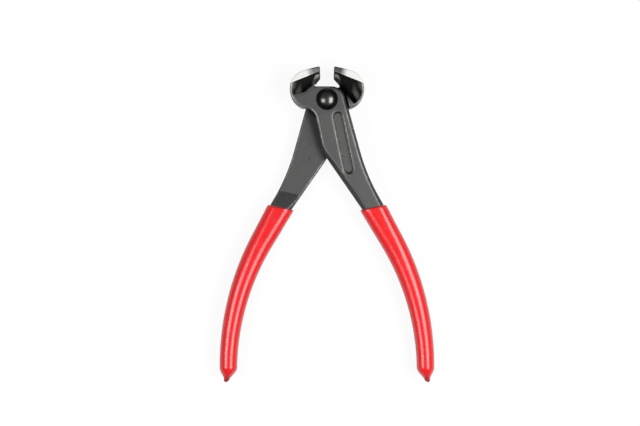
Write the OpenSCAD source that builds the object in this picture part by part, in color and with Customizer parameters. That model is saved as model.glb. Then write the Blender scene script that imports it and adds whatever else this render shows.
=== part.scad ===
// End cutting nippers: two forged levers that lap at a rivet, with dipped grips.
// The tool lies open on its back face, jaws towards +Y and front face towards +Z.
// The origin is on the rivet's axis at the back face. Sizes are in millimetres.
// Both levers are one forging, drawn shut with the cutting edges meeting on X = 0.
// The rear lever is that forging turned over about Y.

/* [Jaws] */
// Thickness of the head across both laps
head_t = 20; // [17:0.5:24]
// Height of the cutting edges above the rivet's axis
edge_h = 20.2; // [19.4:0.1:22]
// Radius of a jaw's outer curve
jaw_r = 11.7; // [11:0.1:12.4]
// Distance of that curve's centre from the plane where the edges meet
jaw_off = 9; // [8.4:0.1:9.8]
// Fall of the blade's back from the edge to the outer curve
blade_fall = 0.4; // [0:0.1:1]
// Width of the blade strip on the jaw's faces, at the edge
blade_w = 3.1; // [2.6:0.1:3.8]
// Lean of the blade strip's lower line, in degrees
blade_lean = 9.5; // [6:0.5:11]
// Width of the rim round the scoop of a jaw
rim_w = 1.4; // [1:0.1:2]
// Depth of the inner bevel under the edge
bevel_h = 7.1; // [6.4:0.1:7.6]
// Setback of the inner bevel's foot from the edge
bevel_back = 1.25; // [0.8:0.05:1.8]
// Half width of the throat behind the edges
throat_w = 6.6; // [6:0.1:7]
// Height of the throat's widest level above the rivet's axis
throat_h = 9.3; // [8.9:0.1:9.7]
// Depth of a scoop at the outer rim
scoop_d = 1; // [0.6:0.1:1.6]
// Slope of a scoop's floor, in degrees
scoop_a = 20; // [16:0.5:22]
// Depth at the throat of the facet along it
facet_d = 7.9; // [7:0.1:8.4]
// Slope of that facet, in degrees
facet_a = 42; // [36:1:48]
// Distance of the web's dip beside the scoop from the throat's side
dip_x = 5.9; // [5:0.1:6.6]
// Depth of that dip and of the groove's top below the throat's widest level
dip_y = 2.3; // [1.8:0.1:2.8]
// Distance of the groove beside the lap from the throat's side
groove_x = 2; // [1.6:0.1:2.6]
// Depth of the groove
groove_d = 9.4; // [8:0.1:9.6]
// Slope of the groove's outer side, in degrees
groove_a = 60; // [52:1:66]
// Length of the bevelled corner at each end of a cutting edge
tip_l = 5.5; // [3:0.25:6]
// Depth of that corner
tip_d = 1.6; // [0.8:0.1:2.4]
// Gap left between the cutting edges when shut
edge_gap = 0.1; // [0.06:0.02:0.2]

/* [Lap joint] */
// Radius of the lap plate's rounded end
lap_r = 8.6; // [8.2:0.1:9]
// Offset of that end's centre towards the handle's side
lap_x = 2.3; // [2:0.1:2.6]
// Drop of that end's centre below the rivet's axis
lap_drop = 1.3; // [1:0.1:1.8]
// Bevel round the lap plate's end
lap_bevel = 1.4; // [0.8:0.1:2]
// Gap between the two lap faces
lap_gap = 0.1; // [0.06:0.02:0.2]
// Clearance of the other jaw round the lap plate's end
lap_clear = 0.4; // [0.3:0.05:0.8]
// Half angle at which the tool lies open
rest_a = 12; // [9:0.5:13]
// Half angle at which the shoulders stop it
stop_a = 13.5; // [13.2:0.1:15]
// Gap left at the shoulders at that angle
stop_gap = 0.12; // [0.08:0.02:0.3]

/* [Rivet] */
// Diameter of the rivet's shank
rivet_d = 8; // [6:0.25:9]
// Diameter of its domed head
dome_d = 13; // [11.5:0.25:13.5]
// Height of its domed head
dome_h = 3.4; // [3:0.1:5]
// Diameter of the flush tail at the back
tail_d = 10.6; // [10:0.1:12]
// Depth of the flush tail
tail_h = 1.6; // [1:0.1:2.4]
// Radial clearance of the shank in the front lever
fixed_fit = 0.02; // [0.01:0.01:0.03]
// Radial clearance of the shank in the rear lever
running_fit = 0.05; // [0.04:0.01:0.08]

/* [Levers] */
// Distance of the neck's inner edge from the tool's axis
neck_x = 8.6; // [8:0.1:9.2]
// Radius of the hollow between the jaw and the neck
neck_r = 6.6; // [5.6:0.1:7.4]
// Distance below the rivet at which the neck's inner edge turns
neck_end = 26; // [22:0.5:30]
// Length over which it turns
neck_turn = 10.5; // [6:0.5:14]
// Lean of the lever's outer edge beside the joint, in degrees
outer_lean = 3.5; // [2:0.25:4.5]
// Distance below the rivet at which the outer edge starts to bow out
outer_end = 34; // [28:0.5:40]
// Distance below the rivet at which the front face starts to fall away
face_start = 8; // [7.6:0.2:9]
// Distance below the rivet at which the lap face ends in a ramp
lap_end = 59.5; // [54:0.5:63]
// Width of the bevel on the outer edge
outer_bevel = 1.7; // [1:0.1:2.2]
// Width of the bevel on the inner edge below the neck
inner_bevel = 2.8; // [2:0.1:3.4]
// Width of the bevel on the neck's inner edge
neck_bevel = 0.8; // [0.4:0.1:1.4]
// Width of the bevels along the lap face
lap_side_bevel = 0.6; // [0.3:0.1:1]
// Width of the bevels of the tang
tang_bevel = 2.2; // [1.6:0.1:2.8]

/* [Stamped slot] */
// Distance of the slot's middle line from the tool's axis
slot_x = 4.1; // [3.6:0.1:4.6]
// Distance of the slot's upper end below the rivet
slot_top = 8.4; // [8:0.2:10]
// Length of the slot
slot_l = 38; // [30:0.5:42]
// Width of the slot
slot_w = 6; // [4.5:0.1:6.6]
// Depth of the slot
slot_d = 0.7; // [0.3:0.1:1.2]

/* [Handles] */
// Distance of the grip's mouth below the rivet
grip_y = 68.5; // [66:0.5:72]
// Distance of the handle's middle line from the tool's axis at the mouth
grip_x = 13.6; // [13:0.1:15]
// Angle of the straight part of a handle to the tool's axis
handle_a = 17.5; // [15:0.25:19]
// Length of the straight part of a handle below the mouth
straight_l = 23; // [16:0.5:28]
// Radius of the bow below it
bow_r = 155; // [140:1:180]
// Length of the grip from its mouth to its rounded end
grip_l = 102; // [92:0.5:112]
// Width of the grip at its mouth
grip_w = 15.3; // [14.4:0.1:16.2]
// Width of the grip at its rounded end
grip_w_end = 10.6; // [10:0.1:12]
// Thickness of the grip at its mouth
grip_t = 12.4; // [11.6:0.1:13.2]
// Thickness of the grip at its rounded end
grip_t_end = 11; // [10:0.1:11.6]
// Fading of the grip's taper towards its end, where 1 is a straight taper
taper_fade = 1.3; // [1:0.1:2]
// Length over which the grip's flat front rounds out
flat_l = 24; // [16:1:36]
// Thickness of the dipped coat on the tang
coat_t = 1.4; // [1.1:0.05:1.8]
// Gap of the bond between tang and coat
bond_gap = 0.05; // [0.03:0.01:0.1]
// Length of the grip's rounded end
cap_l = 6.9; // [5:0.1:8]
// Distance of the tang's end above the start of the rounded end
tang_short = 2; // [1:0.5:6]
// Diameter of the drip nib
nib_d = 3.6; // [3:0.1:4.6]
// Length of the drip nib
nib_l = 2.4; // [1.8:0.1:3.4]
// Angle of the drip nib to the tool's axis, towards the outside
nib_a = 3; // [-8:0.5:8]

/* [Hidden] */
$fn = 96;
over = 0.5;
lap_t = (head_t - lap_gap) / 2;
mid_z = head_t / 2;
lap_z = head_t - lap_t;
jaw_y = edge_h - blade_fall - jaw_r;
jaw_c = [-jaw_off, jaw_y];
throat_top = edge_h - bevel_h;
bevel_foot = [-bevel_back, throat_top];
throat_side = [-throat_w, throat_h];
lap_c = [lap_x, -lap_drop];
lap_sweep = norm(lap_c) + lap_r;
outer_x = lap_x + lap_r;
wide = 3 * jaw_r;
function blend(p, q, k) = p + (q - p) * k;

// Hollow between jaw and neck: bites a little into the jaw's curve and the neck's edge
bite = 0.1;
hollow_x = -neck_x - neck_r + bite;
hollow_c = [hollow_x, jaw_y - sqrt(pow(jaw_r + neck_r - bite, 2) - pow(hollow_x + jaw_off, 2))];
web_y = bite - face_start;

// Top of the lap plate's end, where a line from the throat's side just bites into it
throat_to_lap = throat_side - lap_c;
lap_top_a = atan2(throat_to_lap.y, throat_to_lap.x) - acos(lap_r / norm(throat_to_lap));
lap_top = lap_c + (lap_r - bite) * [cos(lap_top_a), sin(lap_top_a)];

// Handle's middle line, by the distance s along it from the grip's mouth
function way(a) = [sin(a), -cos(a)];
mouth = [grip_x, -grip_y];
bow_start = mouth + straight_l * way(handle_a);
bow_c = bow_start - bow_r * [cos(handle_a), sin(handle_a)];
function handle_dir(s) = s < straight_l ? handle_a : handle_a - (s - straight_l) / bow_r * 180 / PI;
function handle_pos(s) =
    s < straight_l ? mouth + s * way(handle_a)
    : s <= grip_l ? bow_c + bow_r * [cos(handle_dir(s)), sin(handle_dir(s))]
    : handle_pos(grip_l) + nib_turn(s - grip_l);
// Past the grip's body the line turns over the rounded end to the nib's own angle
function nib_turn(t) =
    let (start = way(handle_dir(grip_l)), turned = t < cap_l ? t * t / cap_l / 2 : t - cap_l / 2)
    t * start + turned * (way(nib_a) - start);

// The sections turn from square to the tool's axis at the mouth to square to the handle
square_l = 12;
function section_dir(s) = handle_dir(min(s, grip_l)) * min(1, s / square_l);
function across(s) = [cos(section_dir(s)), sin(section_dir(s))];
function slant(s) = cos(handle_dir(min(s, grip_l)) - section_dir(s));

function ease(s) = pow(1 - min(1, s / grip_l), taper_fade);
function grip_half_w(s) = (grip_w_end + (grip_w - grip_w_end) * ease(s)) / 2;
function grip_half_t(s) = (grip_t_end + (grip_t - grip_t_end) * ease(s)) / 2;
tang_l = grip_l - tang_short;
tang_half_t = grip_t / 2 - coat_t;

// Lever's edges and faces, by the distance d below the rivet
tang_half_x = (grip_w / 2 - coat_t) / slant(0);
bow_out = (grip_x + tang_half_x - outer_x - grip_y * tan(outer_lean)) / pow(grip_y - outer_end, 2);
function outer_edge(d) = outer_x + d * tan(outer_lean) + bow_out * pow(max(0, d - outer_end), 2);
turn_slope = (grip_x - tang_half_x + neck_x) / (grip_y - neck_end - neck_turn / 2);
function inner_edge(d) =
    let (t = max(0, d - neck_end))
    -neck_x + turn_slope * (t < neck_turn ? t * t / neck_turn / 2 : t - neck_turn / 2);
face_fall = (lap_t + lap_gap / 2 - tang_half_t) / (grip_y - face_start);
function face_z(d) = head_t - face_fall * max(0, d - face_start);
function inner_bevel_w(d) =
    neck_bevel + (inner_bevel - neck_bevel) * max(0, min(1, (d - neck_end) / neck_turn));

// Eight corners of a bevelled bar: u across, v through; bevels at the front and back
function bar(u0, u1, v0, v1, front0, front1, back) = [
    [u0, v0 + back], [u0 + back, v0], [u1 - back, v0], [u1, v0 + back],
    [u1, v1 - front1], [u1 - front1, v1], [u0 + front0, v1], [u0, v1 - front0]];

// Section of the lever at the distance d below the rivet
function lever_ring(d) = [
    for (p = bar(inner_edge(d), outer_edge(d), lap_z, face_z(d),
                 inner_bevel_w(d), outer_bevel, lap_side_bevel)) [p.x, -d, p.y]];

// Section of the tang at s along the handle, made larger by grow
function tang_ring(s, grow = 0) =
    let (w = (grip_half_w(s) - coat_t) / slant(s) + grow, t = grip_half_t(s) - coat_t + grow)
    [for (p = bar(-w, w, -t, t, tang_bevel, tang_bevel, tang_bevel))
        let (q = handle_pos(s) + p.x * across(s)) [q.x, q.y, mid_z + p.y]];

tang_steps = 14;
function tang_rings(grow = 0) = [for (i = [0 : tang_steps]) tang_ring(tang_l * i / tang_steps, grow)];

// Section of the grip: an oval of half width w and half thickness t, squared at the mouth
oval_n = 24;
mouth_power = 0.55;
body_power = 0.92;
function squared(v, s) = sign(v) * pow(abs(v), blend(mouth_power, body_power, min(1, s / flat_l)));
function grip_ring(s, w, t) = [
    for (i = [0 : oval_n - 1])
        let (a = 360 * i / oval_n, q = handle_pos(s) + w * squared(cos(a), s) / slant(s) * across(s))
        [q.x, q.y, mid_z + t * squared(sin(a), s)]];

// Closed skin over rings that turn right-handed about the way they follow each other
module skin(rings) {
    n = len(rings[0]);
    last = len(rings) - 1;
    points = [for (r = rings) each r];
    sides = [
        for (k = [0 : last - 1], i = [0 : n - 1])
            let (a = k * n + i, b = k * n + (i + 1) % n)
            each [[a, b + n, b], [a, a + n, b + n]]];
    ends = [[for (i = [0 : n - 1]) i], [for (i = [n - 1 : -1 : 0]) last * n + i]];
    polyhedron(points, concat(sides, ends), convexity = 6);
}

// Outline of a jaw, before its throat is cut
module jaw_outline() {
    translate(jaw_c) circle(jaw_r);
    polygon([jaw_c, jaw_c + [0, jaw_r], [-edge_gap / 2, edge_h], [-edge_gap / 2, throat_top]]);
}

// Outline of the space behind the cutting edges, right through the head.
// Its floor runs from the throat's side to the top of the lap plate's end.
module throat_outline() {
    polygon([
        [-edge_gap / 2, edge_h], bevel_foot, throat_side, lap_top,
        [wide, lap_top.y], [wide, wide], [-edge_gap / 2, wide]]);
}

// Outline of the lapping half of the head: jaw, and web to the neck with its hollow
module lap_outline() {
    difference() {
        union() {
            jaw_outline();
            polygon([jaw_c, hollow_c, [-neck_x, web_y], [lap_x, web_y], lap_c + [0, lap_r - lap_bevel]]);
        }
        translate(hollow_c) circle(neck_r);
        throat_outline();
    }
}

// Outline of the jaw's other half, clear of the other lever's lap at every angle
module free_outline() {
    reach = 4 * jaw_r;
    side = outer_x + stop_gap;
    difference() {
        jaw_outline();
        throat_outline();
        circle(lap_sweep + lap_clear);
        rotate(-2 * stop_a)
            polygon([[-side, 0], [-side - reach * tan(outer_lean), -reach], [reach, -reach], [reach, 0]]);
    }
}

// Rounded end of the lap plate
module lap_disc() {
    translate([lap_c.x, lap_c.y, lap_z])
        rotate_extrude()
            polygon([[0, 0], [lap_r, 0], [lap_r, lap_t - lap_bevel], [lap_r - lap_bevel, lap_t], [0, lap_t]]);
}

// Scoop in the front face of a jaw: a pocket under the blade strip with a sloping floor
scoop_r = jaw_r - rim_w;
strip_h = edge_h - blade_w;
function strip_y(x) = strip_h + x * tan(blade_lean);

// Room above a plane that passes depth below the front face at p and falls towards the angle dir
module above(p, dir, slope, depth) {
    translate([p.x, p.y, head_t - depth])
        rotate([0, slope, dir])
            translate([-wide, -wide, 0])
                cube([2 * wide, 2 * wide, wide]);
}

// Outline of a scoop, whose lower side is the line low from the throat to past the rim
module scoop_outline(low) {
    last = len(low) - 1;
    intersection() {
        union() {
            translate(jaw_c) circle(scoop_r);
            translate([jaw_c.x, 0]) square([over - jaw_c.x, strip_h + over]);
        }
        polygon(concat(
            [[over, throat_h], [over, strip_y(over)], [-wide, strip_y(-wide)]],
            [for (i = [last : -1 : 0]) low[i]]));
    }
}

// The floor falls away from the outer rim, and a steeper facet follows the throat
floor_dir = -15;
throat_dir = atan2(bevel_foot.y - throat_side.y, bevel_foot.x - throat_side.x) - 90;
rim_start = jaw_c - [scoop_r, 0];
module scoop(low) {
    intersection() {
        translate([0, 0, mid_z]) linear_extrude(mid_z + over) scoop_outline(low);
        union() {
            above(rim_start, floor_dir, scoop_a, scoop_d);
            above(throat_side, throat_dir, facet_a, facet_d);
        }
    }
}

// On the lap side the scoop ends above the web
module lap_scoop() {
    dip = throat_side - [dip_x, dip_y];
    scoop([throat_side + [rim_w, rim_w], dip, [-wide, dip.y]]);
}

// On the other side it runs down beside the lap to the shoulder, into a deep groove.
// The groove reaches past the scoop's own side by a small step.
groove_line_a = 38.5;
groove_way = -[cos(groove_line_a), sin(groove_line_a)];
groove_top = throat_side - [groove_x, dip_y];
groove_step = 0.5;
module free_scoop() {
    low = [groove_top - throat_w * groove_way, groove_top + wide * groove_way];
    side = [sin(groove_line_a), -cos(groove_line_a)];
    translate([0, 0, head_t])
        mirror([0, 0, 1]) {
            scoop([for (p = low) p - groove_step * side]);
            intersection() {
                translate([0, 0, mid_z])
                    linear_extrude(mid_z + over)
                        intersection() {
                            translate(jaw_c) circle(scoop_r);
                            polygon([
                                throat_side - wide * side, low[1] - wide * side,
                                low[1], groove_top - rim_w * groove_way]);
                        }
                above(groove_top, -90 + groove_line_a, groove_a, groove_d);
            }
        }
}

// Bevelled corner at one end of the cutting edge
module tip_corner() {
    rotate([0, atan(tip_d / tip_l), 0])
        translate([-wide / 2, blend(throat_h, throat_top, 0.5), 0])
            cube([wide, wide, wide]);
}

// Stamped slot, sunk square to the falling front face
module slot() {
    half = slot_w / 2;
    translate([slot_x, -face_start, head_t])
        rotate([atan(face_fall), 0, 0])
            translate([0, face_start - slot_top, -slot_d])
                linear_extrude(slot_d + over) {
                    translate([0, -half]) circle(half);
                    translate([0, -slot_l + half]) circle(half);
                    translate([-half, -slot_l + half]) square([slot_w, slot_l - slot_w]);
                }
}

// One forging, shut, lapping in front: jaw at -X, handle at +X, with no bore
module forging() {
    lever_steps = 14;
    lever_rings = [
        lever_ring(lap_drop),
        for (i = [0 : lever_steps]) lever_ring(blend(face_start, lap_end, i / lever_steps))];
    difference() {
        union() {
            translate([0, 0, lap_z]) linear_extrude(lap_t) lap_outline();
            linear_extrude(lap_z) free_outline();
            lap_disc();
            skin(concat(lever_rings, tang_rings()));
        }
        lap_scoop();
        free_scoop();
        translate([-tip_l, 0, head_t]) tip_corner();
        translate([-tip_l, 0, 0]) mirror([0, 0, 1]) tip_corner();
        slot();
    }
}

module front_lever() {
    color("#3a3b3c")
        rotate(rest_a)
            difference() {
                forging();
                translate([0, 0, -over]) cylinder(r = rivet_d / 2 + fixed_fit, h = head_t + 2 * over);
            }
}

module rear_lever() {
    color("#444546")
        rotate(-rest_a)
            difference() {
                translate([0, 0, head_t]) rotate([0, 180, 0]) forging();
                rivet_body(running_fit, over);
            }
}

// Shank and flush tail, made larger by fit and longer by past
module rivet_body(fit, past) {
    r = rivet_d / 2 + fit;
    tail_r = tail_d / 2 + fit;
    top = head_t + past;
    rotate_extrude()
        polygon([[0, -past], [tail_r, -past], [tail_r, 0], [r, tail_h + fit], [r, top], [0, top]]);
}

module pivot_rivet() {
    dome_r = (dome_d * dome_d / 4 + dome_h * dome_h) / (2 * dome_h);
    color("#202122") {
        rivet_body(0, 0);
        translate([0, 0, head_t])
            intersection() {
                translate([0, 0, dome_h - dome_r]) sphere(dome_r);
                cylinder(r = dome_r, h = dome_h + over);
            }
    }
}

// Dipped grip on one tang, shut: lip, body, rounded end and drip nib
module grip() {
    body_steps = 24;
    cap_steps = 8;
    cap_fade = 1.2;
    nib_steps = 3;
    nib_r = nib_d / 2;
    nib_tip_a = 80;
    // The lip: distance from the mouth and how far it is thinned, both in coats
    lip = [[0, 0.45], [0.4, 0.12], [1.2, 0]];
    lip_rings = [
        for (p = lip)
            let (s = p[0] * coat_t, thin = p[1] * coat_t)
            grip_ring(s, grip_half_w(s) - thin, grip_half_t(s) - thin)];
    body_rings = [
        for (i = [1 : body_steps])
            let (s = grip_l * i / body_steps) grip_ring(s, grip_half_w(s), grip_half_t(s))];
    cap_rings = [
        for (i = [1 : cap_steps])
            let (k = i / cap_steps, full = i < cap_steps ? pow(cos(90 * k), cap_fade) : 0)
            grip_ring(grip_l + cap_l * k,
                      blend(nib_r, grip_w_end / 2, full), blend(nib_r, grip_t_end / 2, full))];
    nib_rings = [
        for (i = [1 : nib_steps])
            let (a = nib_tip_a * i / nib_steps, r = nib_r * cos(a))
            grip_ring(grip_l + cap_l + nib_l * sin(a), r, r)];
    difference() {
        skin(concat(lip_rings, body_rings, cap_rings, nib_rings));
        skin(tang_rings(bond_gap));
    }
}

module front_grip() {
    color("#cf1f25")
        rotate(rest_a) grip();
}

module rear_grip() {
    color("#cf1f25")
        rotate(-rest_a)
            translate([0, 0, head_t]) rotate([0, 180, 0]) grip();
}

front_lever();
rear_lever();
pivot_rivet();
front_grip();
rear_grip();
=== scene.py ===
import math

import bmesh
import bpy
from mathutils import Matrix, Vector


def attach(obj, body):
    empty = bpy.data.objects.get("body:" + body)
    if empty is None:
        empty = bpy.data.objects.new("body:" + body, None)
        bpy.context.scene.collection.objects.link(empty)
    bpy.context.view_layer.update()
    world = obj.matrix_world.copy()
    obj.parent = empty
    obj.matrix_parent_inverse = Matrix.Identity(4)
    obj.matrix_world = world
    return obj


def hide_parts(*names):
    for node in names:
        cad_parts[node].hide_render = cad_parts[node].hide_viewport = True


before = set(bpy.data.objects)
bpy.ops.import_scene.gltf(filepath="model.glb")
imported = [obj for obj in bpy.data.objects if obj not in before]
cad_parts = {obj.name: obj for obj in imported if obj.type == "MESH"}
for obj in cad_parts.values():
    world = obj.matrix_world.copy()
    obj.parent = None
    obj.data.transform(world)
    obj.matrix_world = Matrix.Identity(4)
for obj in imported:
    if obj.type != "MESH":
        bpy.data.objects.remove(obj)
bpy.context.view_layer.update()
mm = 0.001
weld = 0.001 * mm    # points closer than this are merged
print("frame loaded:", ", ".join(sorted(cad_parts)))


def linear(hexColour):
    parts = [int(hexColour[i:i + 2], 16) / 255 for i in (1, 3, 5)]
    return [p / 12.92 if p <= 0.04045 else ((p + 0.055) / 1.055) ** 2.4 for p in parts] + [1]


# One node with its settings; an input is a plain value, or a socket to link from
def addNode(tree, kind, inputs=None, **settings):
    node = tree.nodes.new(kind)
    for name, value in settings.items():
        setattr(node, name, value)
    for key, value in (inputs or {}).items():
        if isinstance(value, bpy.types.NodeSocket):
            tree.links.new(value, node.inputs[key])
        else:
            node.inputs[key].default_value = value
    return node


def newMaterial(name):
    material = bpy.data.materials.new(name)
    material.use_nodes = True
    material.node_tree.nodes.clear()
    return material, material.node_tree


def pieceFromBmesh(bm, name, materials):
    mesh = bpy.data.meshes.new(name)
    bm.to_mesh(mesh)
    bm.free()
    for material in materials:
        mesh.materials.append(material)
    piece = bpy.data.objects.new(name, mesh)
    bpy.context.scene.collection.objects.link(piece)
    return piece


# Camera straight above the tool, where the photograph was taken from
view = {
    "centreX": -4.15 * mm,    # the tool's place under the image's centre
    "centreY": -67.5 * mm,
    "distance": 1015 * mm,    # from the plane where the laps meet
    "planeZ": 10 * mm,
    "pixel": 0.5985 * mm,     # size of a pixel in that plane
    "imageWidth": 640,
    "sensor": 36.0,
}
cameraData = bpy.data.cameras.new("camera")
cameraData.sensor_width = view["sensor"]
cameraData.lens = view["sensor"] * view["distance"] / (view["pixel"] * view["imageWidth"])
camera = bpy.data.objects.new("camera", cameraData)
camera.location = (view["centreX"], view["centreY"], view["planeZ"] + view["distance"])
bpy.context.scene.collection.objects.link(camera)
bpy.context.scene.camera = camera
bpy.context.scene.view_settings.view_transform = "Standard"

# Two softboxes above the sides of a white table, in a grey room
studio = {
    "softboxes": {
        # tilt from straight above in degrees, then place along the tool and length
        "softboxLeft": (-35, -152 * mm, 300 * mm),
        "softboxRight": (35, -125 * mm, 585 * mm),
    },
    "boxDistance": 700 * mm,
    "boxWidth": 330 * mm,
    "boxGlow": 7.6,           # brightness of a softbox, where white paper is 1
    "room": 0.2,              # brightness of the room around the table
    "floorSize": 6.0,
    "paper": "#fbfbfa",
    "bounce": "#747472",      # what the paper throws back on rough surfaces
    "shadowShare": 0.09,      # how much of the paper's own shading the camera sees
}


def addSoftbox(name, tilt, centreY, length):
    lampData = bpy.data.lights.new(name, "AREA")
    lampData.shape = "RECTANGLE"
    lampData.size = studio["boxWidth"]
    lampData.size_y = length
    lampData.energy = studio["boxGlow"] * math.pi * studio["boxWidth"] * length
    lamp = bpy.data.objects.new(name, lampData)
    turn = Matrix.Rotation(math.radians(tilt), 4, "Y")
    aim = Matrix.Translation((0, centreY, view["planeZ"]))
    lamp.matrix_world = aim @ turn @ Matrix.Translation((0, 0, studio["boxDistance"]))
    bpy.context.scene.collection.objects.link(lamp)


for name, place in studio["softboxes"].items():
    addSoftbox(name, *place)


world = bpy.data.worlds.new("greyRoom")
bpy.context.scene.world = world
world.use_nodes = True
tree = world.node_tree
tree.nodes.clear()
room = addNode(tree, "ShaderNodeBackground", {"Color": (1, 1, 1, 1), "Strength": studio["room"]})
addNode(tree, "ShaderNodeOutputWorld", {"Surface": room.outputs[0]})

# Seamless white paper under the tool: white to the eye and in reflections, with a faint shadow
paper, tree = newMaterial("whitePaper")
path = addNode(tree, "ShaderNodeLightPath").outputs
seen = path["Is Camera Ray"]
for ray in ("Is Glossy Ray", "Is Transmission Ray"):
    seen = addNode(tree, "ShaderNodeMath", {0: seen, 1: path[ray]}, operation="MAXIMUM").outputs[0]
sheet = addNode(tree, "ShaderNodeMix",
                {"Factor": seen, "A": linear(studio["bounce"]), "B": linear(studio["paper"])},
                data_type="RGBA").outputs[2]
matte = addNode(tree, "ShaderNodeBsdfDiffuse", {"Color": sheet}).outputs[0]
glow = addNode(tree, "ShaderNodeEmission", {"Color": (1, 1, 1, 1), "Strength": 1.0}).outputs[0]
share = addNode(tree, "ShaderNodeMath", {0: seen, 1: 1 - studio["shadowShare"]},
                operation="MULTIPLY").outputs[0]
lit = addNode(tree, "ShaderNodeMixShader", {0: share, 1: matte, 2: glow}).outputs[0]
addNode(tree, "ShaderNodeOutputMaterial", {"Surface": lit})
bm = bmesh.new()
bmesh.ops.create_grid(bm, x_segments=1, y_segments=1, size=studio["floorSize"] / 2)
floor = pieceFromBmesh(bm, "paperSheet", [paper])
print("studio set")

# Both levers are one forging; its edges were rounded by the dies, its blade was ground afterwards
forging = {
    "voxel": 0.355 * mm,
    "dieRounding": 9,          # smoothing passes over the forged edges
    "bladeRounding": 2,        # and over the ground blade
    "jawRounding": 20,         # more over the jaws' hollows and rims
    "tipRounding": 8,          # and over the blade's outer corner
    "roundingStep": 0.5,       # share of the way that a pass moves a point
    "tipLength": 2 * mm,
    "dents": ((4.8 * mm, -27.6 * mm), (3.4 * mm, -36 * mm)),
    "dentRadius": 1.5 * mm,
    "dentDepth": 0.09 * mm,
    "openAngle": 12,           # degrees by which each lever is turned from shut
    "headThickness": 20 * mm,
    "stripHeight": 17.1 * mm,  # lower line of the blade strip on the shut tool's axis
    "stripLean": 9.5,
    "jawCentre": (-9 * mm, 8.1 * mm),
    "jawRadius": 12.5 * mm,
    "scoopRadius": 10.3 * mm,
}
lapLevel = forging["headThickness"] / 2


# From the open tool to the shut forging that both levers are made from
def shutForging(turnedOver):
    turn = Matrix.Rotation(math.radians(-forging["openAngle"]), 4, "Z")
    if not turnedOver:
        return turn
    lift = Matrix.Translation((0, 0, forging["headThickness"]))
    return turn @ lift @ Matrix.Diagonal((-1, 1, -1, 1))


def aboveStripLine(point):
    lean = math.tan(math.radians(forging["stripLean"]))
    return point.y - forging["stripHeight"] - point.x * lean


def onJaw(point):
    return (point.x < forging["jawCentre"][0] / 2
            and (point.xy - Vector(forging["jawCentre"])).length < forging["jawRadius"])


# Two dents of use in the lap face that shows below the other lever
def dentLap(verts, toShut):
    for vert in verts:
        spot = toShut @ vert.co
        if abs(spot.z - lapLevel) < forging["voxel"]:
            away = min((spot.xy - Vector(dent)).length for dent in forging["dents"])
            away /= forging["dentRadius"]
            vert.co.z -= forging["dentDepth"] * max(0, 1 - away * away) ** 2


def forgedLever(name, nodeName, turnedOver, material):
    bm = bmesh.new()
    bm.from_mesh(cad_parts[nodeName].data)
    bmesh.ops.remove_doubles(bm, verts=bm.verts, dist=weld)
    rough = pieceFromBmesh(bm, name + "Rough", [])
    remesh = rough.modifiers.new("forge", "REMESH")
    remesh.mode = "VOXEL"
    remesh.voxel_size = forging["voxel"]
    finished = rough.evaluated_get(bpy.context.evaluated_depsgraph_get())
    forged = bpy.data.meshes.new_from_object(finished)
    bpy.data.objects.remove(rough)
    bm = bmesh.new()
    bm.from_mesh(forged)
    bpy.data.meshes.remove(forged)
    toShut = shutForging(turnedOver)
    forgedVerts = [v for v in bm.verts if aboveStripLine(toShut @ v.co) < -forging["voxel"]]
    forgedSet = set(forgedVerts)
    jawVerts = [v for v in forgedVerts if onJaw(toShut @ v.co)]
    tipVerts = [v for v in bm.verts
                if (toShut @ v.co).x > -forging["tipLength"] and v not in forgedSet]
    for verts, rounding in ((bm.verts, "bladeRounding"), (forgedVerts, "dieRounding"),
                            (jawVerts, "jawRounding"), (tipVerts, "tipRounding")):
        for step in range(forging[rounding]):
            bmesh.ops.smooth_vert(bm, verts=verts, factor=forging["roundingStep"],
                                  use_axis_x=True, use_axis_y=True, use_axis_z=True)
    if turnedOver:
        dentLap(bm.verts, toShut)
    for face in bm.faces:
        face.smooth = True
    piece = pieceFromBmesh(bm, name, [material])
    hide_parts(nodeName)
    return piece


# Black oxide on blasted, forged steel: dull grey flats, soot black hollows, bright worn edges and
# painted rim light.
# The blade was ground after blackening, so its strips show bare steel with grinding lines.
forgedFinish = {
    "flat": "#5d5d5c",
    "patch": "#505050",
    "wallShade": "#2b2b2a",        # painted shade on walls that face sideways
    # painted light on the slope at the scoop's outer end
    "slopeLight": "#a5a5a2",
    "soot": "#292928",
    # painted shade, in concave corners and along the other lever
    "paintedShade": "#161615",
    # worn edges, and painted rim light on the jaws
    "wearAndRimLight": "#94948f",
    # bare ground steel, drawn near white: partly its own colour, partly a painted reflection
    "ground": "#e6e6e2",
    "metallic": 0.7,
    "roughness": 0.44,
    "sootMetallic": 1.0,       # keeps pale reflections out of the hollows
    "sootRoughness": 0.85,
    "groundMetallic": 0.25,    # mostly matte, so the near-white strip shows as a painted reflection
    "groundRoughness": 0.42,
    # size, detail and roughness of each pattern
    "mottle": (2.6 * mm, 4.0, 0.6),
    "grain": (0.45 * mm, 2.0, 0.5),       # blasted grain, drawn coarse enough to show
    "nicks": (1.3 * mm, 3.0, 0.5),
    "grinding": (0.5 * mm, 2.0, 0.5),     # grinding lines, drawn coarse enough to show
    "grindStretch": 20,
    "relief": 0.25,
    "reliefDepth": 0.04 * mm,
    # a point and the direction of the lines that bound the throat's grey facet, the slope at the
    # scoop's outer end, and the painted shadow of the other lever's edge
    "facetStart": (-6.65 * mm, 11.2 * mm),
    "facetTurn": 58,
    "slopeStart": (-13.5 * mm, 7.84 * mm),
    "slopeTurn": 51,
    # painted shadow of the other lever on this lap face
    "shadowStart": (-9.5 * mm, -7.1 * mm),
    "shadowTurn": -19,
    "shadowWidth": 5 * mm,
    "shadowStrength": 0.5,
    "shadowDepth": 2 * mm,        # from the lap face
    "shadowStop": (-6 * mm, -3 * mm),        # behind the other lever's edge
    "shadowRadius": 15 * mm,      # round the other lever's lap end
    "lapRadius": 12 * mm,
    "lapStrength": 0.95,
}

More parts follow.
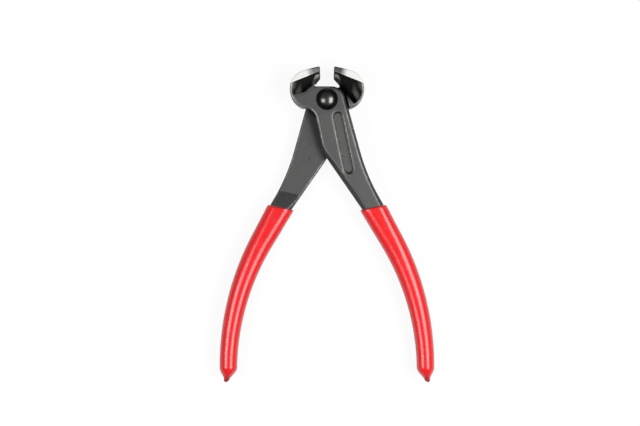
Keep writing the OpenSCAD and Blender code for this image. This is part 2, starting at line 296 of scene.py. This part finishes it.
# Marks on the shut forging: the measure each follows, its start and end, and its strength at both
steelMarks = {
    # the ground strip, which fades into the tip and the outer rim
    "inStrip": ("overLine", -0.1 * mm, 0.15 * mm, 0, 1),
    "onFace": ("level", lapLevel - 0.6 * mm, lapLevel - 0.25 * mm, 0, 1),
    "offTip": ("across", -4.6 * mm, -8.6 * mm, 0, 1),
    "offRim": ("fromJaw", 12 * mm, 11.2 * mm, 0.7, 1),
    # the scoop, with a grey facet along the throat and painted light on the slope at its outer end
    "inRim": ("fromJaw", forging["scoopRadius"] + 0.5 * mm, forging["scoopRadius"] - 0.3 * mm, 0, 1),
    "deep": ("level", lapLevel - 0.5 * mm, lapLevel - 2 * mm, 0, 1),
    "offFacet": ("facet", -0.4 * mm, 0.4 * mm, 0, 1),
    "slopeFoot": ("slope", -0.3 * mm, 0.5 * mm, 0, 1),
    "slopeTop": ("slope", 3.6 * mm, 0.6 * mm, 0, 1),
    "slopeOut": ("across", -13 * mm, -17.5 * mm, 0, 0.9),
    # painted shade on walls that face sideways and in the corners, and wear on the edges
    # painted shade: the more a surface faces sideways, the darker it is drawn
    "sideShade": ("upright", 0.85, 0.45, 0, 0.85),
    # painted shade in concave corners
    "corner": ("pointiness", 0.497, 0.488, 0, 0.9),
    "edge": ("pointiness", 0.5065, 0.521, 0, 1),
    "rubbing": ("mottle", 0.4, 0.62, 0.1, 0.9),
    "nicked": ("nicks", 0.7, 0.8, 0, 0.6),
    # the lap end and the tang, where edges keep their oxide
    "lapSide": ("across", 4 * mm, 7 * mm, 0, 0.8),
    "lapTop": ("along", -12 * mm, -8 * mm, 0, 1),
    "tang": ("along", -50 * mm, -58 * mm, 0, 0.8),
    # painted rim light along the jaw's outer rim, near the faces
    "rimBand": ("fromJaw", 9.3 * mm, 10.8 * mm, 0, 1),
    "rimTop": ("along", 2 * mm, 7 * mm, 0, 0.8),
    "rimOut": ("across", -5 * mm, -8 * mm, 0, 1),
    "rimFace": ("level", lapLevel - 4 * mm, lapLevel - 1 * mm, 0, 1),
}

# Marks made from others, in this order
markSteps = (
    ("inScoop", "MULTIPLY", "inRim", "deep"),
    ("slopePart", "MULTIPLY", "slopeFoot", "slopeTop", "slopeOut"),
    ("slope", "MULTIPLY", "slopePart", "inScoop"),
    ("offSlope", "SUBTRACT", "offFacet", "slopePart"),
    ("soot", "MULTIPLY", "inScoop", "offSlope"),
    ("ground", "MULTIPLY", "inStrip", "onFace", "offTip", "offRim"),
    ("lapEnd", "MULTIPLY", "lapSide", "lapTop"),
    ("tangFace", "MULTIPLY", "tang", "frontHalf"),
    ("kept", "MAXIMUM", "tangFace", "soot", "lapEnd", "inStrip"),
    ("clean", "SUBTRACT", "rubbing", "kept"),
    ("wornEdge", "MULTIPLY", "edge", "clean"),
    # painted rim light on the jaw's outer rim
    ("rimLight", "MULTIPLY", "rimBand", "rimTop", "rimOut", "rimFace"),
    ("wearAndRimLight", "MAXIMUM", "wornEdge", "rimLight", "nicked"),
)


def blackenedForgedSteel(name, turnedOver):
    finish = forgedFinish
    material, tree = newMaterial(name)
    place = addNode(tree, "ShaderNodeTexCoord").outputs["Object"]
    shut = addNode(tree, "ShaderNodeMapping",
                   {"Vector": place, "Rotation": (0, 0, -math.radians(forging["openAngle"])),
                    "Scale": (-1, 1, -1) if turnedOver else (1, 1, 1),
                    "Location": (0, 0, forging["headThickness"] if turnedOver else 0)}).outputs[0]
    spot = addNode(tree, "ShaderNodeSeparateXYZ", {0: shut}).outputs
    flatPlace = addNode(tree, "ShaderNodeCombineXYZ", {0: spot[0], 1: spot[1]}).outputs[0]
    surface = addNode(tree, "ShaderNodeNewGeometry").outputs
    facing = addNode(tree, "ShaderNodeSeparateXYZ", {0: surface["Normal"]}).outputs

    # What the marks follow: distances on the shut forging, the surface's own form, and patterns
    offLap = addNode(tree, "ShaderNodeMath", {0: spot[2], 1: lapLevel}, operation="SUBTRACT")
    stripLine = addNode(tree, "ShaderNodeMath",
                        {0: spot[0], 1: math.tan(math.radians(forging["stripLean"])),
                         2: forging["stripHeight"]}, operation="MULTIPLY_ADD")
    measure = {"across": spot[0], "along": spot[1], "pointiness": surface["Pointiness"]}
    measure["level"] = addNode(tree, "ShaderNodeMath", {0: offLap.outputs[0]},
                               operation="ABSOLUTE").outputs[0]
    measure["upright"] = addNode(tree, "ShaderNodeMath", {0: facing[2]},
                                 operation="ABSOLUTE").outputs[0]
    measure["overLine"] = addNode(tree, "ShaderNodeMath", {0: spot[1], 1: stripLine.outputs[0]},
                                  operation="SUBTRACT").outputs[0]
    measure["fromJaw"] = addNode(tree, "ShaderNodeVectorMath",
                                 {0: flatPlace, 1: (*forging["jawCentre"], 0)},
                                 operation="DISTANCE").outputs["Value"]
    for line in ("facet", "slope"):
        turn = math.radians(finish[line + "Turn"])
        away = addNode(tree, "ShaderNodeVectorMath", {0: shut, 1: (*finish[line + "Start"], 0)},
                       operation="SUBTRACT").outputs[0]
        measure[line] = addNode(tree, "ShaderNodeVectorMath",
                                {0: away, 1: (-math.sin(turn), math.cos(turn), 0)},
                                operation="DOT_PRODUCT").outputs["Value"]
    stretched = addNode(tree, "ShaderNodeMapping",
                        {"Vector": shut, "Scale": (1, *2 * [1 / finish["grindStretch"]])}).outputs[0]
    for pattern in ("mottle", "grain", "nicks", "grinding"):
        size, detail, roughness = finish[pattern]
        measure[pattern] = addNode(tree, "ShaderNodeTexNoise",
                                   {"Vector": stretched if pattern == "grinding" else place,
                                    "Scale": 1 / size, "Detail": detail,
                                    "Roughness": roughness}).outputs[0]

    mask = {"frontHalf": addNode(tree, "ShaderNodeMath", {0: spot[2], 1: lapLevel},
                                 operation="GREATER_THAN").outputs[0]}
    for mark, (follows, start, end, atStart, atEnd) in steelMarks.items():
        mask[mark] = addNode(tree, "ShaderNodeMapRange",
                             {"Value": measure[follows], "From Min": start, "From Max": end,
                              "To Min": atStart, "To Max": atEnd}).outputs[0]
    for mark, operation, first, *others in markSteps:
        mask[mark] = mask[first]
        for other in others:
            mask[mark] = addNode(tree, "ShaderNodeMath", {0: mask[mark], 1: mask[other]},
                                 operation=operation, use_clamp=True).outputs[0]

    # Tones over the flats; the side walls, corners, scoop slope and jaw rims get painted shade and
    # light
    layers = [("sideShade", "wallShade"), ("corner", "paintedShade"), ("soot", "soot"), ("slope", "slopeLight"),
              ("wearAndRimLight", "wearAndRimLight"), ("ground", "ground")]
    if turnedOver:
        # Painted shadow on the lap face, along the edge of the lever in front and round its lap end
        turn = math.radians(finish["shadowTurn"])
        offShadowLine = addNode(tree, "ShaderNodeVectorMath", {0: place, 1: (*finish["shadowStart"], 0)},
                         operation="SUBTRACT").outputs[0]
        fromShadowLine = addNode(tree, "ShaderNodeVectorMath",
                          {0: offShadowLine, 1: (-math.cos(turn), math.sin(turn), 0)},
                          operation="DOT_PRODUCT").outputs["Value"]
        shaded = addNode(tree, "ShaderNodeMapRange",
                        {"Value": fromShadowLine, "From Min": finish["shadowWidth"], "From Max": 0.0,
                         "To Max": finish["shadowStrength"]}, interpolation_type="SMOOTHSTEP")
        nearEdge = addNode(tree, "ShaderNodeMapRange",
                           {"Value": fromShadowLine, "From Min": finish["shadowStop"][0],
                            "From Max": finish["shadowStop"][1]})
        onLap = addNode(tree, "ShaderNodeMath", {0: measure["level"], 1: finish["shadowDepth"]},
                        operation="LESS_THAN")
        shadedEdge = addNode(tree, "ShaderNodeMath", {0: shaded.outputs[0], 1: nearEdge.outputs[0]},
                            operation="MULTIPLY")
        lapShadow = addNode(tree, "ShaderNodeMath", {0: onLap.outputs[0], 1: shadedEdge.outputs[0]},
                         operation="MULTIPLY")
        offAxis = addNode(tree, "ShaderNodeVectorMath", {0: flatPlace}, operation="LENGTH")
        roundLap = addNode(tree, "ShaderNodeMapRange",
                           {"Value": offAxis.outputs["Value"], "From Min": finish["shadowRadius"],
                            "From Max": finish["lapRadius"], "To Max": finish["lapStrength"]})
        mask["leverShadow"] = addNode(tree, "ShaderNodeMath", {0: lapShadow.outputs[0], 1: roundLap.outputs[0]},
                              operation="MAXIMUM").outputs[0]
        # painted shadow of the lever in front
        layers.append(("leverShadow", "paintedShade"))

    colour = addNode(tree, "ShaderNodeMix",
                     {"Factor": measure["mottle"], "A": linear(finish["flat"]),
                      "B": linear(finish["patch"])}, data_type="RGBA").outputs[2]
    for mark, tone in layers:
        colour = addNode(tree, "ShaderNodeMix",
                         {"Factor": mask[mark], "A": colour, "B": linear(finish[tone])},
                         data_type="RGBA").outputs[2]
    metallic, roughness = finish["metallic"], finish["roughness"]
    for mark in ("soot", "ground"):
        metallic = addNode(tree, "ShaderNodeMix",
                           {"Factor": mask[mark], "A": metallic,
                            "B": finish[mark + "Metallic"]}).outputs[0]
        roughness = addNode(tree, "ShaderNodeMix",
                            {"Factor": mask[mark], "A": roughness,
                             "B": finish[mark + "Roughness"]}).outputs[0]

    # Blasted grain on the oxide, lines across the strip where it was ground
    height = addNode(tree, "ShaderNodeMix",
                     {"Factor": mask["ground"], "A": measure["grain"], "B": measure["grinding"]})
    bump = addNode(tree, "ShaderNodeBump",
                   {"Height": height.outputs[0], "Strength": finish["relief"],
                    "Distance": finish["reliefDepth"]})
    steel = addNode(tree, "ShaderNodeBsdfPrincipled",
                    {"Base Color": colour, "Metallic": metallic, "Roughness": roughness,
                     "Normal": bump.outputs[0]})
    addNode(tree, "ShaderNodeOutputMaterial", {"Surface": steel.outputs[0]})
    return material


for name, nodeName, body, turnedOver in (("frontLever", "front_lever", "front", False),
                                         ("rearLever", "rear_lever", "rear", True)):
    steel = blackenedForgedSteel(name + "BlackenedSteel", turnedOver)
    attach(forgedLever(name, nodeName, turnedOver, steel), body)
print("levers forged")

# Rivet with a snap-formed dome in front and a flush tail behind
rivet = {
    "shankRadius": 4 * mm,
    "tailRadius": 5.3 * mm,
    "tailDepth": 1.6 * mm,
    "headLevel": 20 * mm,
    "domeRadius": 6.5 * mm,
    "domeHeight": 3.4 * mm,
    "domeSteps": 16,
    "turnSteps": 72,
}

# Black oxide burnished by the rivet set: a smooth dark dome that mirrors both lamps softly
rivetFinish = {
    "crown": "#5f5f5e",        # lighter than the skirt, for a painted reflection
    # darker, a painted reflection of the dark plate round the dome
    "skirt": "#262625",
    "crownRadius": 3.2 * mm,
    "skirtRadius": 5.4 * mm,
    "roughness": (0.23, 0.33),
    "smearSize": 3 * mm,
    "smearReach": 1 * mm,      # by which smears move the crown's edge
    "peenSize": 0.8 * mm,      # marks of the rivet set
    "peenStrength": 0.2,
    "peenDepth": 0.05 * mm,
}


def burnishedBlackSteel():
    finish = rivetFinish
    material, tree = newMaterial("burnishedBlackSteel")
    place = addNode(tree, "ShaderNodeTexCoord").outputs["Object"]
    smear = addNode(tree, "ShaderNodeTexNoise",
                    {"Vector": place, "Scale": 1 / finish["smearSize"], "Detail": 3.0}).outputs[0]
    peen = addNode(tree, "ShaderNodeTexNoise",
                   {"Vector": place, "Scale": 1 / finish["peenSize"], "Detail": 1.0}).outputs[0]
    flatPlace = addNode(tree, "ShaderNodeVectorMath", {0: place, 1: (1, 1, 0)},
                        operation="MULTIPLY").outputs[0]
    reach = addNode(tree, "ShaderNodeVectorMath", {0: flatPlace}, operation="LENGTH")
    smeared = addNode(tree, "ShaderNodeMath",
                      {0: smear, 1: finish["smearReach"], 2: reach.outputs["Value"]},
                      operation="MULTIPLY_ADD")
    # Painted reflection: the skirt is drawn darker than the crown, for the dark plate that the
    # dome's edge mirrors
    outward = addNode(tree, "ShaderNodeMapRange",
                      {"Value": smeared.outputs[0], "From Min": finish["crownRadius"],
                       "From Max": finish["skirtRadius"]}, interpolation_type="SMOOTHSTEP")
    colour = addNode(tree, "ShaderNodeMix",
                     {"Factor": outward.outputs[0], "A": linear(finish["crown"]),
                      "B": linear(finish["skirt"])}, data_type="RGBA")
    dull = addNode(tree, "ShaderNodeMapRange",
                   {"Value": smear, "To Min": finish["roughness"][0],
                    "To Max": finish["roughness"][1]})
    bump = addNode(tree, "ShaderNodeBump",
                   {"Height": peen, "Strength": finish["peenStrength"],
                    "Distance": finish["peenDepth"]})
    steel = addNode(tree, "ShaderNodeBsdfPrincipled",
                    {"Base Color": colour.outputs[2], "Metallic": 1.0, "Roughness": dull.outputs[0],
                     "Normal": bump.outputs[0]})
    addNode(tree, "ShaderNodeOutputMaterial", {"Surface": steel.outputs[0]})
    return material


def domedRivet():
    bm = bmesh.new()
    rise, reach, headLevel = rivet["domeHeight"], rivet["domeRadius"], rivet["headLevel"]
    ball = (reach * reach + rise * rise) / (2 * rise)
    centre = Vector((0, 0, headLevel + rise - ball))
    top = bm.verts.new(centre + Vector((0, 0, ball)))
    arc = bmesh.ops.spin(bm, geom=[top], cent=centre, axis=(0, 1, 0),
                         angle=math.asin(reach / ball), steps=rivet["domeSteps"])
    corner = next(g for g in arc["geom_last"] if isinstance(g, bmesh.types.BMVert))
    for x, z in ((rivet["shankRadius"], headLevel), (rivet["shankRadius"], rivet["tailDepth"]),
                 (rivet["tailRadius"], 0), (0, 0)):
        corner = bmesh.ops.extrude_vert_indiv(bm, verts=[corner])["verts"][0]
        corner.co = (x, 0, z)
    bmesh.ops.spin(bm, geom=bm.verts[:] + bm.edges[:], cent=(0, 0, 0), axis=(0, 0, 1),
                   angle=math.tau, steps=rivet["turnSteps"], use_merge=True)
    bmesh.ops.remove_doubles(bm, verts=bm.verts, dist=weld)
    bmesh.ops.recalc_face_normals(bm, faces=bm.faces)
    for face in bm.faces:
        face.smooth = face.calc_center_median().z > headLevel
    piece = pieceFromBmesh(bm, "pivotRivet", [burnishedBlackSteel()])
    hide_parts("pivot_rivet")
    return piece


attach(domedRivet(), "front")
print("rivet set")

# Dipped grip: a sleeve that follows the bevelled tang at the mouth and rounds out to its drip nib
grip = {
    "mouth": (13.6 * mm, -68.5 * mm),
    "handleAngle": 17.5,
    "straight": 23 * mm,
    "bowRadius": 155 * mm,
    "length": 102 * mm,
    "width": (15.3 * mm, 10.6 * mm),       # at the mouth and at the rounded end
    "thickness": (12.4 * mm, 11 * mm),
    "taperFade": 1.3,
    "coat": 1.4 * mm,
    "squareLength": 12 * mm,   # over which the sections turn square to the handle
    "flatLength": {"inner": 25 * mm, "outer": 40 * mm},    # over which the flat front rounds out
    "flatFade": 1.2,
    "bevel": 0.7 * mm,         # of the coat over the tang's bevels
    "edgeRadius": {"inner": 4.2 * mm, "outer": 3.4 * mm},
    "mouthRoundness": {"inner": 0.5, "outer": 0.35},       # share of the oval at the mouth
    "hollowBevel": 1.2 * mm,
    "hollowRadius": 0.6 * mm,
    "bondGap": 0.12 * mm,
    "tangShort": 2 * mm,
    # rings over the lip: way in from the mouth and depth under the skin, in coats
    "lip": ((0, 0.7), (0, 0.4), (0.1, 0.2), (0.35, 0.06), (0.8, 0)),
    "cap": 6.9 * mm,
    "capFade": 1.2,
    "nibRadius": 1.8 * mm,
    "nibLength": 2.36 * mm,
    "nibAngle": 3,
    "nibClose": 86,            # degrees round the drip's tip, where the last ring is filled
    "sides": 96,
    "insideRings": 36,
    "bodyRings": 144,
    "capRings": 12,
    "nibRings": 6,
}


def wayAlong(degrees):
    a = math.radians(degrees)
    return Vector((math.sin(a), -math.cos(a)))


def mixed(a, b, k):
    return a + (b - a) * k


def gripHeading(s):
    bowed = max(0, min(s, grip["length"]) - grip["straight"])
    return grip["handleAngle"] - math.degrees(bowed / grip["bowRadius"])


def gripMiddle(s):
    start = Vector(grip["mouth"])
    if s <= grip["straight"]:
        return start + s * wayAlong(grip["handleAngle"])
    bowStart = start + grip["straight"] * wayAlong(grip["handleAngle"])
    if s <= grip["length"]:
        a, b = math.radians(grip["handleAngle"]), math.radians(gripHeading(s))
        bow = Vector((math.cos(b) - math.cos(a), math.sin(b) - math.sin(a)))
        return bowStart + grip["bowRadius"] * bow
    past = s - grip["length"]
    heading = wayAlong(gripHeading(s))
    turned = past * past / grip["cap"] / 2 if past < grip["cap"] else past - grip["cap"] / 2
    towardsNib = turned * (wayAlong(grip["nibAngle"]) - heading)
    return gripMiddle(grip["length"]) + past * heading + towardsNib


def gripHalf(size, s):
    ease = (1 - min(1, s / grip["length"])) ** grip["taperFade"]
    return mixed(grip[size][1], grip[size][0], ease) / 2


# Point of a section where its outline faces the angle turn: on a bevelled bar, or on an oval as
# its sides round out
def sectionPoint(turn, halfWidth, halfThickness, bevel, inner, outer):
    facing = Vector((math.cos(turn), math.sin(turn)))
    radius, roundness = outer if facing.x > 0 else inner
    sideways = abs(facing.x) > abs(facing.y)
    corner = Vector((math.copysign(halfWidth - radius - (0 if sideways else bevel), facing.x),
                     math.copysign(halfThickness - radius - (bevel if sideways else 0), facing.y)))
    oval = Vector((halfWidth ** 2 * facing.x, halfThickness ** 2 * facing.y))
    oval /= math.hypot(halfWidth * facing.x, halfThickness * facing.y)
    return mixed(corner + radius * facing, oval, roundness)


# Moves a ring of the sleeve to its section
def placeRing(ring, s, *shape):
    heading = gripHeading(s)
    section = heading * min(1, s / grip["squareLength"])
    slant = math.cos(math.radians(heading - section))
    across = Vector((math.cos(math.radians(section)), math.sin(math.radians(section))))
    for i, vert in enumerate(ring):
        point = sectionPoint(math.tau * (i + 0.5) / len(ring), *shape)
        spot = gripMiddle(s) + point.x / slant * across
        vert.co = (spot.x, spot.y, lapLevel + point.y)


def skinSection(s, depth):
    sides = []
    for side in ("inner", "outer"):
        fade = min(1, s / grip["flatLength"][side]) ** grip["flatFade"]
        sides.append((grip["edgeRadius"][side], mixed(grip["mouthRoundness"][side], 1, fade)))
    return s, gripHalf("width", s) - depth, gripHalf("thickness", s) - depth, grip["bevel"], *sides


def sleeveSections():
    sections = []
    coat, length = grip["coat"], grip["length"]
    hollow = coat - grip["bondGap"]
    oval = (0, 1)
    for i in range(grip["insideRings"], -1, -1):         # up the inside
        s = (length - grip["tangShort"]) * i / grip["insideRings"]
        sections.append((s, gripHalf("width", s) - hollow, gripHalf("thickness", s) - hollow,
                         grip["hollowBevel"], *2 * [(grip["hollowRadius"], 0)]))
    for away, depth in grip["lip"]:                      # over the lip
        sections.append(skinSection(away * coat, depth * coat))
    for i in range(1, grip["bodyRings"] + 1):            # down the outside
        sections.append(skinSection(mixed(coat, length, i / grip["bodyRings"]), 0))
    for i in range(1, grip["capRings"] + 1):             # round the end
        k = i / grip["capRings"]
        full = max(0, math.cos(math.pi / 2 * k)) ** grip["capFade"]
        sections.append((length + grip["cap"] * k,
                         mixed(grip["nibRadius"], grip["width"][1] / 2, full),
                         mixed(grip["nibRadius"], grip["thickness"][1] / 2, full), 0, oval, oval))
    for i in range(1, grip["nibRings"] + 1):             # to the drip's tip
        a = math.radians(grip["nibClose"]) * i / grip["nibRings"]
        radius = grip["nibRadius"] * math.cos(a)
        sections.append((length + grip["cap"] + grip["nibLength"] * math.sin(a),
                         radius, radius, 0, oval, oval))
    return sections


# Soft glossy PVC from a dip bath: saturated red, a thick wet skin with a faint orange peel
vinyl = {
    "red": "#ee0a14",
    "deep": "#dc0811",
    "drip": "#9c1220",        # painted shade towards the drip's tip
    "dripStart": -163 * mm,
    "dripEnd": -168 * mm,
    "lip": "#8f0b14",         # shaded edge of the mouth
    "lipStart": -69.3 * mm,   # along the shut tool
    "lipEnd": -68.8 * mm,
    "roughness": 0.28,        # of the softened vinyl under its skin
    "skin": 0.4,
    "skinRoughness": 0.14,
    "ior": 1.52,
    "bloom": 0.5,             # pale film of plasticiser that shows at a glance along the skin
    "bloomRoughness": 0.4,
    "cloudSize": 14 * mm,
    "peelSize": 4 * mm,
    "peelStrength": 0.06,
    "peelDepth": 0.05 * mm,
    "scuffSize": 5 * mm,
    "scuffRange": (0.4, 0.75),
    "scuffRoughness": 0.36,
}


def dippedVinyl():
    material, tree = newMaterial("dippedVinyl")
    place = addNode(tree, "ShaderNodeTexCoord").outputs["Object"]
    along = addNode(tree, "ShaderNodeSeparateXYZ", {0: place}).outputs
    pattern = {}
    for kind, detail in (("cloud", 3.0), ("peel", 1.0), ("scuff", 5.0)):
        pattern[kind] = addNode(tree, "ShaderNodeTexNoise",
                                {"Vector": place, "Scale": 1 / vinyl[kind + "Size"],
                                 "Detail": detail}).outputs[0]
    drop = addNode(tree, "ShaderNodeMapRange",
                   {"Value": along[1], "From Min": vinyl["dripStart"], "From Max": vinyl["dripEnd"]},
                   interpolation_type="SMOOTHSTEP").outputs[0]

    # Both mouths lie on one line of the shut tool, to either side of its axis
    opened = math.radians(forging["openAngle"])
    aside = addNode(tree, "ShaderNodeMath", {0: along[0]}, operation="ABSOLUTE").outputs[0]
    sideways = addNode(tree, "ShaderNodeMath", {0: aside, 1: math.sin(opened)},
                       operation="MULTIPLY").outputs[0]
    length = addNode(tree, "ShaderNodeMath", {0: along[1], 1: math.cos(opened)},
                     operation="MULTIPLY").outputs[0]
    shutLength = addNode(tree, "ShaderNodeMath", {0: length, 1: sideways},
                         operation="SUBTRACT").outputs[0]
    inLip = addNode(tree, "ShaderNodeMapRange",
                    {"Value": shutLength, "From Min": vinyl["lipStart"],
                     "From Max": vinyl["lipEnd"]}).outputs[0]

    # Painted shade on the drip's tip and the mouth's lip; the cloud is the vinyl's own uneven tone
    colour = linear(vinyl["red"])
    for mask, tone in ((pattern["cloud"], "deep"), (drop, "drip"), (inLip, "lip")):
        colour = addNode(tree, "ShaderNodeMix",
                         {"Factor": mask, "A": colour, "B": linear(vinyl[tone])},
                         data_type="RGBA").outputs[2]
    dull = addNode(tree, "ShaderNodeMapRange",
                   {"Value": pattern["scuff"], "From Min": vinyl["scuffRange"][0],
                    "From Max": vinyl["scuffRange"][1], "To Min": vinyl["roughness"],
                    "To Max": vinyl["scuffRoughness"]}).outputs[0]
    bump = addNode(tree, "ShaderNodeBump",
                   {"Height": pattern["peel"], "Strength": vinyl["peelStrength"],
                    "Distance": vinyl["peelDepth"]}).outputs[0]
    skin = addNode(tree, "ShaderNodeBsdfPrincipled",
                   {"Base Color": colour, "Roughness": dull, "IOR": vinyl["ior"], "Normal": bump,
                    "Coat Weight": vinyl["skin"], "Coat Roughness": vinyl["skinRoughness"],
                    "Coat Normal": bump, "Sheen Weight": vinyl["bloom"],
                    "Sheen Roughness": vinyl["bloomRoughness"]})
    addNode(tree, "ShaderNodeOutputMaterial", {"Surface": skin.outputs[0]})
    return material


# The new ring's vertices in the order of the ring that they were drawn from
def followRing(ring, edges):
    fresh = {v for e in edges for v in e.verts}
    return [next(e.other_vert(v) for e in v.link_edges if e.other_vert(v) in fresh) for v in ring]


def dippedGrip(name, nodeName, turnedOver, material):
    bm = bmesh.new()
    ring = bmesh.ops.create_circle(bm, cap_ends=False, segments=grip["sides"], radius=1)["verts"]
    firstEdges = edges = bm.edges[:]
    for step, section in enumerate(sleeveSections()):
        if step:
            grown = bmesh.ops.extrude_edge_only(bm, edges=edges)["geom"]
            edges = [g for g in grown if isinstance(g, bmesh.types.BMEdge)
                     and all(v not in ring for v in g.verts)]
            ring = followRing(ring, edges)
        placeRing(ring, *section)
    bmesh.ops.holes_fill(bm, edges=firstEdges + edges, sides=grip["sides"])
    bmesh.ops.transform(bm, matrix=shutForging(turnedOver).inverted(), verts=bm.verts)
    bmesh.ops.recalc_face_normals(bm, faces=bm.faces)
    for face in bm.faces:
        face.smooth = True
    piece = pieceFromBmesh(bm, name, [material])
    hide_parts(nodeName)
    return piece


redVinyl = dippedVinyl()
for name, nodeName, body, turnedOver in (("frontGrip", "front_grip", "front", False),
                                         ("rearGrip", "rear_grip", "rear", True)):
    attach(dippedGrip(name, nodeName, turnedOver, redVinyl), body)
print("grips dipped")
